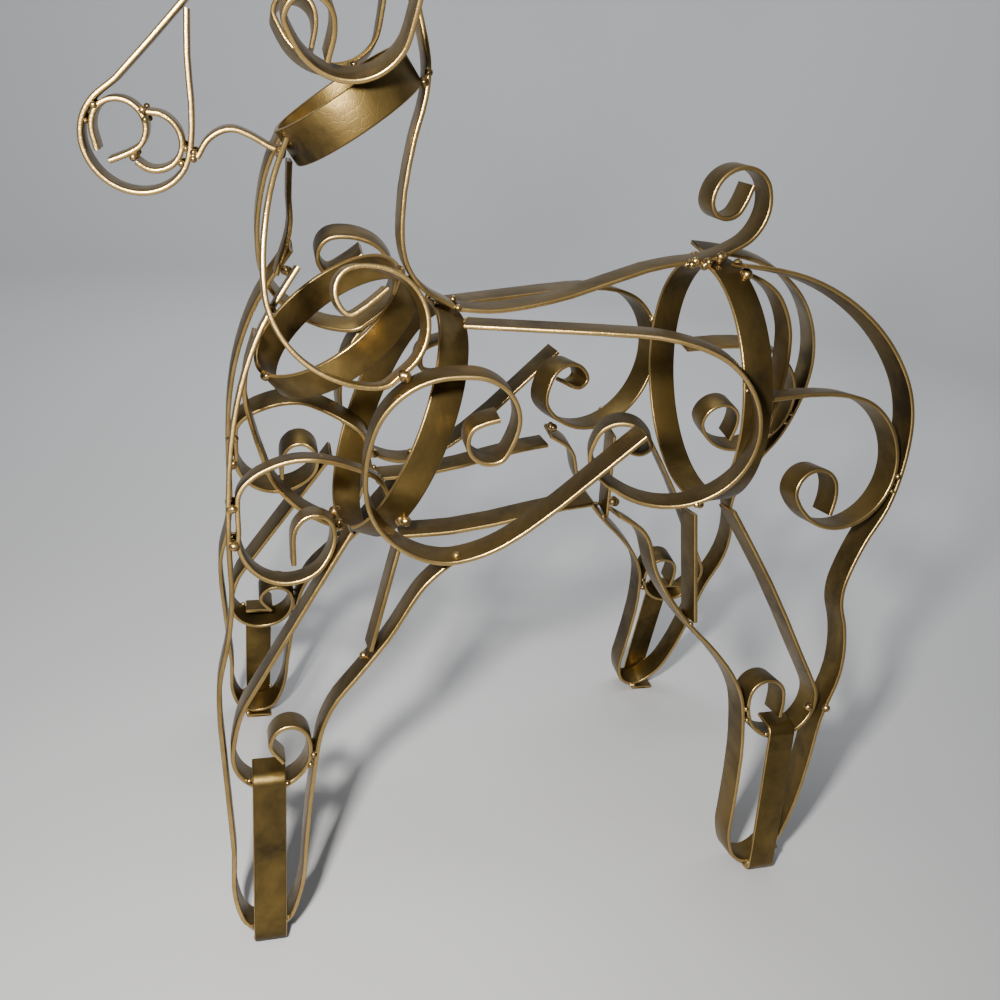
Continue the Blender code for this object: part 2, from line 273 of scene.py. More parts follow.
@dataclass(frozen=True)
class GoldPaint:
    """Satin antique gold over flat steel strip, with a painted highlight on the rim crowns and painted shade
    beside them. Colours are linear, the scales are per metre.
    """

    name: str
    gold: Triple = (0.165, 0.108, 0.030)
    # Darker tone for the random mottling. It is also the painted shade beside the rims.
    shade: Triple = (0.042, 0.029, 0.012)
    # Colour of the rim crowns: partly real edge wear, partly a painted highlight.
    worn_and_highlight: Triple = (0.50, 0.34, 0.13)
    roughness: float = 0.36
    rough_change: float = 0.14
    metallic: float = 0.92
    highlight_and_wear: float = 0.85
    break_up: float = 0.45
    # How strongly the band beside the rims is darkened as painted shade.
    border: float = 0.85
    patch_scale: float = 26.0
    film: float = 0.22
    nibs: float = 0.18

    def material(self, effects: Effects) -> bpy.types.Material:
        """Make the paint's material.

        Args:
            effects: The shared shader groups.

        Returns:
            The material, which reads the strip's own rim attribute.
        """
        made = bpy.data.materials.new(self.name)
        made.use_nodes = True
        made.diffuse_color = (*self.gold, 1.0)
        paint = Tree(made.node_tree)
        shader = made.node_tree.nodes["Principled BSDF"]
        rim = paint.node("ShaderNodeAttribute", {"attribute_name": "rim"})
        highlight_and_wear = paint.node(
            "ShaderNodeGroup", {"node_tree": effects.highlight_and_wear}, Rim=rim.outputs["Fac"], Break_Up=self.break_up
        )
        mottle = paint.node("ShaderNodeGroup", {"node_tree": effects.mottle}, Patch_Scale=self.patch_scale)
        grain = paint.node(
            "ShaderNodeGroup", {"node_tree": effects.grain}, Film_Strength=self.film, Nib_Strength=self.nibs
        )
        # Painted shade in the band beside each rim crown, joined with the random mottling.
        border = paint.math("MULTIPLY", highlight_and_wear.outputs["Border"], self.border)
        mottle_and_shade_share = paint.math("MAXIMUM", mottle.outputs["Clouds"], border)
        mottled_and_shaded = self._mixed(paint, mottle_and_shade_share, self.gold, self.shade)
        # Rim crowns lightened: partly edge wear, partly painted highlight.
        highlight_and_wear_mask = paint.math("MULTIPLY", highlight_and_wear.outputs["Mask"], self.highlight_and_wear)
        colour = self._mixed(paint, highlight_and_wear_mask, mottled_and_shaded, self.worn_and_highlight)
        rough = paint.math("MULTIPLY_ADD", mottle.outputs["Clouds"], self.rough_change, self.roughness)
        rough = paint.math("MULTIPLY_ADD", highlight_and_wear_mask, -0.13, rough)
        made.node_tree.links.new(colour, shader.inputs["Base Color"])
        made.node_tree.links.new(rough, shader.inputs["Roughness"])
        made.node_tree.links.new(grain.outputs["Normal"], shader.inputs["Normal"])
        shader.inputs["Metallic"].default_value = self.metallic
        return made

    @staticmethod
    def _mixed(
        paint: Tree, share: bpy.types.NodeSocket, first: object, second: object
    ) -> bpy.types.NodeSocket:
        """Mix two colours by a share, where each is a colour or a socket that carries one."""
        whole = [(*each, 1.0) if isinstance(each, tuple) else each for each in (first, second)]
        mixer = paint.node("ShaderNodeMix", {"data_type": "RGBA"}, i0=share, i6=whole[0], i7=whole[1])
        return mixer.outputs[2]


@dataclass(frozen=True)
class WeldMetal:
    """Weld metal under the same gold paint: scorched brown and bright gold in random cloudy patches."""

    name: str = "weld_metal"
    bright: Triple = (0.48, 0.33, 0.13)
    scorched: Triple = (0.055, 0.036, 0.018)
    roughness: float = 0.27
    metallic: float = 0.92
    scorch_scale: float = 330.0
    film: float = 0.3
    nibs: float = 0.1

    def material(self, effects: Effects) -> bpy.types.Material:
        """Make the weld's material.

        Args:
            effects: The shared shader groups.

        Returns:
            The material.
        """
        made = bpy.data.materials.new(self.name)
        made.use_nodes = True
        made.diffuse_color = (*self.bright, 1.0)
        weld = Tree(made.node_tree)
        shader = made.node_tree.nodes["Principled BSDF"]
        mottle = weld.node("ShaderNodeGroup", {"node_tree": effects.mottle}, Patch_Scale=self.scorch_scale)
        grain = weld.node(
            "ShaderNodeGroup", {"node_tree": effects.grain}, Film_Strength=self.film, Nib_Strength=self.nibs
        )
        mixer = weld.node(
            "ShaderNodeMix",
            {"data_type": "RGBA"},
            i0=mottle.outputs["Clouds"],
            i6=(*self.bright, 1.0),
            i7=(*self.scorched, 1.0),
        )
        made.node_tree.links.new(mixer.outputs[2], shader.inputs["Base Color"])
        made.node_tree.links.new(grain.outputs["Normal"], shader.inputs["Normal"])
        shader.inputs["Roughness"].default_value = self.roughness
        shader.inputs["Metallic"].default_value = self.metallic
        return made


@dataclass(frozen=True)
class PalePaper:
    """The matt pale grey of the floor."""

    name: str = "pale_floor"
    colour: Triple = (0.39, 0.395, 0.40)
    roughness: float = 0.75

    def material(self) -> bpy.types.Material:
        """Make the floor's material."""
        made = bpy.data.materials.new(self.name)
        made.use_nodes = True
        shader = made.node_tree.nodes["Principled BSDF"]
        shader.inputs["Base Color"].default_value = (*self.colour, 1.0)
        shader.inputs["Roughness"].default_value = self.roughness
        return made


@dataclass
class BendLine:
    """A strip's centre line, the way its width runs, and its width and thickness, all in metres."""

    points: np.ndarray
    across: np.ndarray
    width: float
    thickness: float
    closed: bool

    FINEST_TURN = math.radians(3.6)
    POST_SLACK = 0.6 * MILLIMETRE
    WIDTH_RANGE = (10 * MILLIMETRE, 40 * MILLIMETRE)
    WELD_STEP = 0.01 * MILLIMETRE
    VECTOR_STEP = 0.1 * MILLIMETRE
    LONGEST_PULL = 2.5

    @classmethod
    def of_node(cls, name: str) -> "BendLine":
        """Read the bending line back from a packed strip.

        A strip's solid has four corners at each bend. The edges that cross its wide faces are all the same
        vector, which gives its width and the way it faces. Seen along that vector, the wide faces and the
        cut ends form one loop, or two loops on a closed hoop.

        Args:
            name: The strip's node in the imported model.

        Returns:
            The bending line.
        """
        corners, faces = cls._welded(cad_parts[name])
        across, width = cls._crossing(corners, faces)
        tree = KDTree(len(corners))
        for index, corner in enumerate(corners):
            tree.insert(corner, index)
        tree.balance()
        post = np.full(len(corners), -1)
        feet: list[np.ndarray] = []
        for index, corner in enumerate(corners):
            _, other, distance = tree.find(corner + across * width)
            if distance < cls.POST_SLACK:
                post[index] = post[other] = len(feet)
                feet.append(corner + across * width / 2)
        links: dict[int, set[int]] = {index: set() for index in range(len(feet))}
        for face in faces:
            ends = {int(post[corner]) for corner in face}
            if len(ends) == 2:
                first, second = ends
                links[first].add(second)
                links[second].add(first)
        loops = cls._loops(links)
        middle, thickness = cls._middle(np.array(feet), loops)
        return cls(middle, across, width, thickness, len(loops) == 2)

    @classmethod
    def _welded(cls, node: bpy.types.Object) -> tuple[np.ndarray, np.ndarray]:
        """Return a node's corners without doubles, and its triangles."""
        mesh = node.data
        mesh.calc_loop_triangles()
        places = np.empty(len(mesh.vertices) * 3, np.float32)
        mesh.vertices.foreach_get("co", places)
        places = places.reshape(-1, 3).astype(float)
        faces = np.empty(len(mesh.loop_triangles) * 3, np.int32)
        mesh.loop_triangles.foreach_get("vertices", faces)
        rounded = np.round(places / cls.WELD_STEP).astype(int)
        _, first, index = np.unique(rounded, axis=0, return_index=True, return_inverse=True)
        return places[first], index.reshape(-1)[faces.reshape(-1, 3)]

    @classmethod
    def _crossing(cls, corners: np.ndarray, faces: np.ndarray) -> tuple[np.ndarray, float]:
        """Return the unit vector across the strip and the strip's width, from its commonest edge."""
        pairs = np.concatenate([faces[:, [0, 1]], faces[:, [1, 2]], faces[:, [2, 0]]])
        edges = corners[pairs[:, 1]] - corners[pairs[:, 0]]
        lengths = np.linalg.norm(edges, axis=1)
        least, most = cls.WIDTH_RANGE
        wide = edges[(lengths > least) & (lengths < most)]
        leading = np.abs(wide).argmax(axis=1)
        wide = wide * np.sign(wide[np.arange(len(wide)), leading])[:, None]
        names = [tuple(row) for row in np.round(wide / cls.VECTOR_STEP).astype(int)]
        commonest = Counter(names).most_common(1)[0][0]
        same = wide[[name == commonest for name in names]].mean(axis=0)
        width = float(np.linalg.norm(same))
        return same / width, width

    @staticmethod
    def _loops(links: dict[int, set[int]]) -> list[list[int]]:
        """Walk the links and return each closed loop as its posts in order."""
        left = set(links)
        loops = []
        while left:
            here = min(left)
            loop = [here]
            left.discard(here)
            while True:
                ahead = [post for post in sorted(links[here]) if post in left]
                if not ahead:
                    break
                here = ahead[0]
                loop.append(here)
                left.discard(here)
            loops.append(loop)
        return loops

    @staticmethod
    def _middle(feet: np.ndarray, loops: list[list[int]]) -> tuple[np.ndarray, float]:
        """Return the line midway between the strip's two wide faces, and the strip's thickness."""
        if len(loops) == 2:
            outer, inner = feet[loops[0]], feet[loops[1]]
            pairs = np.linalg.norm(outer[:, None] - inner[None], axis=2).argmin(axis=1)
            partner = inner[pairs]
        else:
            ring = feet[loops[0]]
            half = len(ring) // 2
            ahead = np.roll(ring, -1, axis=0) - ring
            unit = ahead / np.linalg.norm(ahead, axis=1)[:, None]
            turned = (np.roll(unit, 1, axis=0) * np.roll(unit, -1, axis=0)).sum(axis=1)
            start = int((turned[:half] + turned[half:]).argmin()) + 1
            ring = np.roll(ring, -start, axis=0)
            outer, partner = ring[:half], ring[half:][::-1]
        gaps = np.linalg.norm(outer - partner, axis=1)
        return (outer + partner) / 2, float(gaps.min())

    def smooth(self) -> np.ndarray:
        """Round the bending line's corners without moving them.

        Returns:
            Points so close that the line turns by a few degrees at most between them.
        """
        line = self.points
        count = len(line)
        if self.closed:
            ahead = np.roll(line, -1, axis=0) - line
        else:
            ahead = np.diff(line, axis=0)
        length = np.linalg.norm(ahead, axis=1)
        unit = ahead / length[:, None]
        fine = []
        for span in range(len(ahead)):
            before = span - 1 if self.closed or span > 0 else span
            after = (span + 1) % len(ahead) if self.closed or span + 1 < len(ahead) else span
            leave = self._heading(unit[before], unit[span], length[before], length[span])
            arrive = self._heading(unit[span], unit[after], length[span], length[after])
            leave = leave * min(length[span], self.LONGEST_PULL * length[before])
            arrive = arrive * min(length[span], self.LONGEST_PULL * length[after])
            bend = math.acos(float(np.clip(unit[before] @ unit[span], -1, 1)))
            bend = max(bend, math.acos(float(np.clip(unit[span] @ unit[after], -1, 1))))
            steps = max(1, math.ceil(bend / self.FINEST_TURN))
            for step in range(steps):
                share = step / steps
                square, cube = share**2, share**3
                fine.append(
                    line[span] * (2 * cube - 3 * square + 1)
                    + leave * (cube - 2 * square + share)
                    + line[(span + 1) % count] * (3 * square - 2 * cube)
                    + arrive * (cube - square)
                )
        if not self.closed:
            fine.append(line[-1])
        return np.array(fine)

    @staticmethod
    def _heading(first: np.ndarray, second: np.ndarray, before: float, after: float) -> np.ndarray:
        """Return the direction where two chords meet, weighted towards the shorter one."""
        blend = first / before + second / after
        return blend / np.linalg.norm(blend)


def baked(host: bpy.types.Object, name: str) -> bpy.types.Object:
    """Turn an object with modifiers into a plain mesh object at the origin.

    Args:
        host: The object with its modifiers, which is removed.
        name: The name of the plain object.

    Returns:
        The plain object, in the scene.
    """
    graph = bpy.context.evaluated_depsgraph_get()
    mesh = bpy.data.meshes.new_from_object(host.evaluated_get(graph), depsgraph=graph)
    bpy.data.objects.remove(host, do_unlink=True)
    mesh.name = name
    plain = bpy.data.objects.new(name, mesh)
    bpy.context.scene.collection.objects.link(plain)
    return plain


def with_tree(
    name: str,
    points: np.ndarray,
    edges: list[tuple[int, int]],
    tree: bpy.types.NodeTree,
    values: dict[str, object],
) -> bpy.types.Object:
    """Make an object from points and edges and give it a geometry tree.

    Args:
        name: The object's name.
        points: Its points.
        edges: The pairs of points that are joined.
        tree: The geometry tree.
        values: The tree's inputs by name.

    Returns:
        The object, in the scene, with the modifier's inputs set.
    """
    mesh = bpy.data.meshes.new(name)
    mesh.from_pydata([tuple(point) for point in points], edges, [])
    host = bpy.data.objects.new(name, mesh)
    bpy.context.scene.collection.objects.link(host)
    modifier = host.modifiers.new(tree.name, "NODES")
    modifier.node_group = tree
    for item in tree.interface.items_tree:
        if item.item_type == "SOCKET" and item.in_out == "INPUT" and item.name in values:
            modifier[item.identifier] = values[item.name]
    return host


@dataclass
class StripMaker:
    """Sweeps a rounded bar along a bending line with one geometry tree."""

    rim_rounding: float = 0.00085
    rounding_steps: int = 4
    tree: bpy.types.NodeTree = field(init=False)

    def __post_init__(self) -> None:
        """Build the tree."""
        self.tree = self._build()

    @staticmethod
    def _build() -> bpy.types.NodeTree:
        """Build the tree that sweeps a bar with rounded rims and marks its rims.

        Returns:
            The tree: a line, Width, Thickness, Rounding, Steps, Across and Paint in, the strip out.
        """
        strip = Tree.geometry("bent_strip")
        strip.takes("Line", Data.SHAPE)
        strip.takes("Width", Data.NUMBER, 0.016)
        strip.takes("Thickness", Data.NUMBER, 0.0023)
        strip.takes("Rounding", Data.NUMBER, 0.0008)
        strip.takes("Steps", Data.COUNT, 4)
        strip.takes("Across", Data.VECTOR, (0.0, 1.0, 0.0))
        strip.takes("Paint", Data.FINISH)
        strip.gives("Strip", Data.SHAPE)
        start = strip.node("NodeGroupInput").outputs
        rail = strip.node("GeometryNodeMeshToCurve", Mesh=start["Line"])
        turned = strip.node("GeometryNodeSetCurveNormal", Curve=rail.outputs[0])
        turned.mode = "FREE"
        strip.tree.links.new(start["Across"], turned.inputs["Normal"])
        bar = strip.node(
            "GeometryNodeCurvePrimitiveQuadrilateral", Width=start["Width"], Height=start["Thickness"]
        )
        rounded = strip.node(
            "GeometryNodeFilletCurve",
            {"mode": "POLY"},
            Curve=bar.outputs[0],
            Radius=start["Rounding"],
            Count=start["Steps"],
            Limit_Radius=True,
        )
        where = strip.node("GeometryNodeInputPosition")
        parts = strip.node("ShaderNodeSeparateXYZ", Vector=where.outputs[0])
        half = strip.math("MULTIPLY", start["Width"], 0.5)
        depth = strip.math("SUBTRACT", half, strip.math("ABSOLUTE", parts.outputs["X"]))
        share = strip.math("DIVIDE", depth, start["Rounding"])
        rim = strip.math("SUBTRACT", 1.0, strip.clamped(share, 0.1, 1.0))
        marked = strip.node(
            "GeometryNodeStoreNamedAttribute",
            {"data_type": "FLOAT", "domain": "POINT"},
            Geometry=rounded.outputs[0],
            Name="rim",
            Value=rim,
        )
        swept = strip.node(
            "GeometryNodeCurveToMesh",
            Curve=turned.outputs[0],
            Profile_Curve=marked.outputs[0],
            Fill_Caps=True,
        )
        near = strip.node("GeometryNodeInputMeshFaceNeighbors")
        end = strip.node(
            "FunctionNodeCompare",
            {"data_type": "INT", "operation": "LESS_EQUAL"},
            i2=near.outputs["Vertex Count"],
            i3=4,
        )
        soft = strip.node(
            "GeometryNodeSetShadeSmooth", Geometry=swept.outputs[0], Shade_Smooth=end.outputs[0]
        )
        real = strip.node("GeometryNodeRealizeInstances", Geometry=soft.outputs[0])
        painted = strip.node("GeometryNodeSetMaterial", Geometry=real.outputs[0], Material=start["Paint"])
        strip.node("NodeGroupOutput", Strip=painted.outputs[0])
        return strip.tree

    def make(self, node: str, paint: bpy.types.Material) -> bpy.types.Object:
        """Sweep one strip of the frame again and let it stand for its node.

        Args:
            node: The strip's node.
            paint: Its material.

        Returns:
            The finished strip.
        """
        line = BendLine.of_node(node)
        points = line.smooth()
        edges = [(index, index + 1) for index in range(len(points) - 1)]
        if line.closed:
            edges.append((len(points) - 1, 0))
        values = {
            "Width": line.width,
            "Thickness": line.thickness,
            "Rounding": self.rim_rounding,
            "Steps": self.rounding_steps,
            "Across": tuple(line.across),
            "Paint": paint,
        }
        host = with_tree(f"{node}_line", points, edges, self.tree, values)
        strip = baked(host, f"{node}_painted")
        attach(strip, BODY)
        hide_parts(node)
        return strip


@dataclass
class WeldMaker:
    """Lays beads of weld where two strips come close, with one geometry tree."""

    reach: float = 0.0026
    apart: float = 0.012
    voxel: float = 0.00045
    ripple: float = 0.00028
    rim_depth: float = 1.6 * MILLIMETRE
    seed: int = 7
    tree: bpy.types.NodeTree = field(init=False)

    def __post_init__(self) -> None:
        """Build the tree."""
        self.tree = self._build()

    @staticmethod
    def _build() -> bpy.types.NodeTree:
        """Build the tree that melts points with a radius into one rippled bead.

        Returns:
            The tree: points, Voxel, Ripple and Metal in, the bead out.
        """
        weld = Tree.geometry("weld_bead")
        weld.takes("Drops", Data.SHAPE)
        weld.takes("Voxel", Data.NUMBER, 0.0004)
        weld.takes("Ripple", Data.NUMBER, 0.0002)
        weld.takes("Metal", Data.FINISH)
        weld.gives("Bead", Data.SHAPE)
        start = weld.node("NodeGroupInput").outputs
        size = weld.node("GeometryNodeInputNamedAttribute", {"data_type": "FLOAT"}, Name="size")
        dots = weld.node("GeometryNodeMeshToPoints", Mesh=start["Drops"], Radius=size.outputs["Attribute"])
        cloud = weld.node(
            "GeometryNodePointsToVolume",
            {"resolution_mode": "VOXEL_SIZE"},
            Points=dots.outputs[0],
            Density=1.0,
            Voxel_Size=start["Voxel"],
            Radius=size.outputs["Attribute"],
        )
        skin = weld.node(
            "GeometryNodeVolumeToMesh",
            {"resolution_mode": "GRID"},
            Volume=cloud.outputs[0],
            Threshold=0.3,
            Adaptivity=0.0,
        )
        bumps = weld.node("ShaderNodeTexNoise", Scale=700.0, Detail=2.0)
        level = weld.math("SUBTRACT", bumps.outputs["Fac"], 0.5)
        height = weld.math("MULTIPLY", level, start["Ripple"])
        normal = weld.node("GeometryNodeInputNormal")
        shift = weld.node(
            "ShaderNodeVectorMath", {"operation": "SCALE"}, Vector=normal.outputs[0], Scale=height
        )
        rippled = weld.node("GeometryNodeSetPosition", Geometry=skin.outputs[0], Offset=shift.outputs[0])
        soft = weld.node("GeometryNodeSetShadeSmooth", Geometry=rippled.outputs[0], Shade_Smooth=True)
        real = weld.node("GeometryNodeRealizeInstances", Geometry=soft.outputs[0])
        made = weld.node("GeometryNodeSetMaterial", Geometry=real.outputs[0], Material=start["Metal"])
        weld.node("NodeGroupOutput", Bead=made.outputs[0])
        return weld.tree

    def seams(self, first: bpy.types.Object, second: bpy.types.Object) -> list[np.ndarray]:
        """Find where two strips come close.

        Args:
            first: A finished strip.
            second: Another one.

        Returns:
            For each place, the points midway between the strips.
        """
        tree = KDTree(len(second.data.vertices))
        for index, vertex in enumerate(second.data.vertices):
            tree.insert(vertex.co, index)
        tree.balance()
        close = []
        for vertex in first.data.vertices:
            place, _, distance = tree.find(vertex.co)
            if distance < self.reach:
                close.append(np.array((vertex.co + place) / 2))
        groups: list[list[np.ndarray]] = []
        for point in close:
            for group in groups:
                if min(np.linalg.norm(point - other) for other in group[-60:]) < self.apart:
                    group.append(point)
                    break
            else:
                groups.append([point])
        return [np.array(group) for group in groups]

    def drops(self, seam: np.ndarray, kind: Weld, size: float, outward: float) -> list[Drop]:
        """Choose the lumps and the spatter of one weld.

        Args:
            seam: The points of the seam.
            kind: How much metal the weld has.
            size: The radius of a lump.
            outward: -1 or 1 for the side of the strips, along Y, that the torch could reach.

        Returns:
            Each drop as its place and its radius.
        """
        self.seed += 1
        chance = np.random.default_rng(self.seed)
        outside = seam[:, 1] * outward
        rim = seam[outside > outside.max() - self.rim_depth]
        centre = rim.mean(axis=0)
        spread = rim - centre
        along = np.linalg.svd(spread)[2][0] if len(rim) > 2 else np.array((1.0, 0.0, 0.0))
        span = float(np.clip(np.abs(spread @ along).max(), 0.5 * size, 2.6 * size))
        made = []
        for index in range(kind.lumps):
            share = 2 * index / (kind.lumps - 1) - 1
            shake = chance.normal(0.0, 0.22 * size, 3)
            radius = size * float(chance.uniform(0.75, 1.1))
            made.append((centre + along * span * share * 0.8 + shake, radius))
        for _ in range(kind.spatter):
            throw = chance.normal(0.0, 1.0, 3)
            throw *= size * float(chance.uniform(1.0, 1.9)) / np.linalg.norm(throw)
            nearest = seam[np.linalg.norm(seam - centre - throw, axis=1).argmin()]
            radius = size * float(chance.uniform(0.16, 0.34))
            made.append((nearest + (centre + throw - nearest) * 0.35, radius))
        return made

    def make(self, name: str, drops: list[Drop], metal: bpy.types.Material) -> bpy.types.Object:
        """Melt drops into one piece.

        Args:
            name: The piece's name.
            drops: Each drop's place and radius.
            metal: The weld's material.

        Returns:
            The finished piece.
        """
        values = {"Voxel": self.voxel, "Ripple": self.ripple, "Metal": metal}
        host = with_tree(f"{name}_drops", np.array([place for place, _ in drops]), [], self.tree, values)
        sizes = host.data.attributes.new("size", "FLOAT", "POINT")
        sizes.data.foreach_set("value", [radius for _, radius in drops])
        host.data.update()
        bead = baked(host, name)
        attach(bead, BODY)
        return bead


@dataclass
class Assembly:
    """A group of strips that share a finish, and the welds inside the group."""

    name: str
    nodes: tuple[str, ...]
    paint: GoldPaint
    strips: dict[str, bpy.types.Object] = field(default_factory=dict)

    def build(self, maker: StripMaker, effects: Effects) -> None:
        """Sweep and paint every strip of the group.

        Args:
            maker: What sweeps the strips.
            effects: The shared shader groups.
        """
        finish = self.paint.material(effects)
        for node in self.nodes:
            self.strips[node] = maker.make(node, finish)
            log.info("%s: %s, %d faces", self.name, node, len(self.strips[node].data.polygons))


def both(*names: str) -> tuple[str, ...]:
    """Name the strips of both sides."""
    return tuple(f"{side.value}_{name}" for side in Side for name in names)


@dataclass
class Legs(Assembly):
    """The four legs with their ankle scrolls, braces and hoof straps."""

    name: str = "legs"
    nodes: tuple[str, ...] = both(
        "front_leg_strip",
        "front_ankle_brace",
        "front_thigh_brace",
        "front_hoof_strap",
        "rear_leg_strip",
        "rear_ankle_brace",
        "rear_thigh_brace",
        "rear_hoof_strap",
    )
    paint: GoldPaint = GoldPaint("leg_gold")


@dataclass
class Body(Assembly):
    """The hoops, the back and belly lines and the scrolls of the flanks."""

    name: str = "body"
    nodes: tuple[str, ...] = (
        "front_hoop",
        "rear_hoop",
        "back_and_tail_strip",
        "rump_strip",
        "breast_strip",
        *both("chest_scroll", "shoulder_scroll", "flank_scroll", "haunch_scroll", "belly_strip"),
    )
    paint: GoldPaint = GoldPaint("body_gold", patch_scale=21.0)


@dataclass
class Head(Assembly):
    """The neck's rings and scrolls, the muzzle and the antlers."""

    name: str = "head"
    nodes: tuple[str, ...] = (
        "neck_ring",
        "collar_ring",
        "nape_strip",
        "throat_strip",
        "jaw_strip",
        "face_strip",
        "front_nostril_curl",
        "rear_nostril_curl",
        *both("neck_scroll", "antler_beam", "antler_front_tine", "antler_rear_tine"),
    )
    paint: GoldPaint = GoldPaint("head_gold", gold=(0.27, 0.18, 0.055), roughness=0.32)


@dataclass
class Welds:
    """All welds of the reindeer. Pairs that the photograph shows with more metal are named here."""

    metal: WeldMetal = WeldMetal()
    usual: float = 0.0017
    bold: dict[frozenset[str], tuple[Weld, float]] = field(
        default_factory=lambda: {
            frozenset(("breast_strip", "front_hoop")): (Weld.CRAGGY, 0.0026),
            frozenset(("back_and_tail_strip", "rear_hoop")): (Weld.CRAGGY, 0.0026),
            frozenset(("rump_strip", "rear_hoop")): (Weld.LUMP, 0.0026),
            frozenset(("jaw_strip", "collar_ring")): (Weld.LUMP, 0.0021),
            frozenset(("throat_strip", "collar_ring")): (Weld.LUMP, 0.0020),
            frozenset(("near_antler_beam", "collar_ring")): (Weld.LUMP, 0.0022),
            frozenset(("far_antler_beam", "collar_ring")): (Weld.LUMP, 0.0022),
            frozenset(("near_chest_scroll", "near_front_leg_strip")): (Weld.LUMP, 0.0024),
            frozenset(("far_chest_scroll", "far_front_leg_strip")): (Weld.LUMP, 0.0024),
        }
    )
    spots: tuple[tuple[Triple, Weld, float], ...] = (
        ((-0.0690, -0.0555, 0.2850), Weld.LUMP, 0.0026),
        ((-0.0675, -0.0470, 0.2080), Weld.LUMP, 0.0027),
        ((-0.0640, -0.0300, 0.2000), Weld.TACK, 0.0024),
        ((0.0415, -0.0520, 0.2220), Weld.LUMP, 0.0024),
        ((-0.0410, -0.0640, 0.2005), Weld.LUMP, 0.0022),
        ((-0.0820, -0.0630, 0.1440), Weld.TACK, 0.0025),
        ((0.1760, -0.0820, 0.1035), Weld.TACK, 0.0024),
        ((0.0820, -0.0670, 0.2240), Weld.TACK, 0.0022),
        ((0.1075, -0.0170, 0.3310), Weld.LUMP, 0.0031),
        ((0.0840, -0.0090, 0.3330), Weld.CRAGGY, 0.0022),
        ((0.1000, -0.0090, 0.3350), Weld.CRAGGY, 0.0024),
        ((-0.0640, -0.0080, 0.3250), Weld.LUMP, 0.0021),
        ((-0.1193, -0.0100, 0.3725), Weld.LUMP, 0.0025),
        ((-0.0607, -0.0040, 0.4070), Weld.TACK, 0.0022),
        ((-0.1190, -0.0120, 0.3215), Weld.CRAGGY, 0.0021),
        ((-0.1310, -0.0130, 0.2720), Weld.TACK, 0.0024),
    )
    touch: float = 0.0045
    middle_half: float = 4 * MILLIMETRE
    single_half: float = 20 * MILLIMETRE

    def build(self, maker: WeldMaker, groups: Iterable[Assembly], effects: Effects) -> None:
        """Lay a weld at every place where two strips come close.

        Args:
            maker: What finds the seams and melts the beads.
            groups: The finished groups of strips.
            effects: The shared shader groups.
        """
        metal = self.metal.material(effects)
        strips = {node: strip for group in groups for node, strip in group.strips.items()}
        owner = {node: group.name for group in groups for node in group.strips}
        drops: dict[str, list[Drop]] = {}
        names = sorted(strips)
        boxes = {node: self._box(strip) for node, strip in strips.items()}
        for index, first in enumerate(names):
            for second in names[index + 1 :]:
                if self._clear(boxes[first], boxes[second], maker.reach):
                    continue
                for seam in maker.seams(strips[first], strips[second]):
                    kind, size = self.bold.get(frozenset((first, second)), (Weld.TACK, self.usual))
                    middle = abs(float(seam[:, 1].mean())) < self.middle_half
                    sides = (-1.0, 1.0) if middle else (math.copysign(1.0, float(seam[:, 1].mean())),)
                    for outward in sides:
                        found = maker.drops(seam, kind, size, outward)
                        drops.setdefault(owner[first], []).extend(found)
                    log.info("weld %s with %s at %s", first, second, np.round(seam.mean(axis=0) * 1000, 1))
        for place, kind, size in self.spots:
            for sign in (1.0, -1.0) if abs(place[1]) > self.single_half else (1.0,):
                spot = np.array((place[0], place[1] * sign, place[2]))
                seam, node = self._near(spot, strips)
                found = maker.drops(seam, kind, size, math.copysign(1.0, spot[1]))
                drops.setdefault(owner[node], []).extend(found)
        for group, found in drops.items():
            bead = maker.make(f"{group}_welds", found, metal)
            log.info("%s: %d drops, %d faces", bead.name, len(found), len(bead.data.polygons))

    def _near(self, spot: np.ndarray, strips: dict[str, bpy.types.Object]) -> tuple[np.ndarray, str]:
        """Gather what lies about a spot.

        Args:
            spot: The place of a weld.
            strips: Every finished strip by its node.

        Returns:
            The points of the strips about the spot, or the spot itself, and the nearest strip's node.
        """
        seam, best, nearest = [], "", math.inf
        for node, strip in strips.items():
            places = self._places(strip)
            gaps = np.linalg.norm(places - spot, axis=1)
            if gaps.min() < nearest:
                best, nearest = node, float(gaps.min())
            seam.extend(places[gaps < self.touch])
        return np.array(seam or [spot]), best

    @staticmethod
    def _places(strip: bpy.types.Object) -> np.ndarray:
        """Return the corners of a strip's mesh."""
        places = np.empty(len(strip.data.vertices) * 3)
        strip.data.vertices.foreach_get("co", places)
        return places.reshape(-1, 3)

    @classmethod
    def _box(cls, strip: bpy.types.Object) -> Box:
        """Return the lowest and highest corner of a strip."""
        places = cls._places(strip)
        return places.min(axis=0), places.max(axis=0)

    @staticmethod
    def _clear(first: Box, second: Box, gap: float) -> bool:
        """Whether two boxes are further apart than a gap."""
        return bool((first[0] - gap > second[1]).any() or (second[0] - gap > first[1]).any())


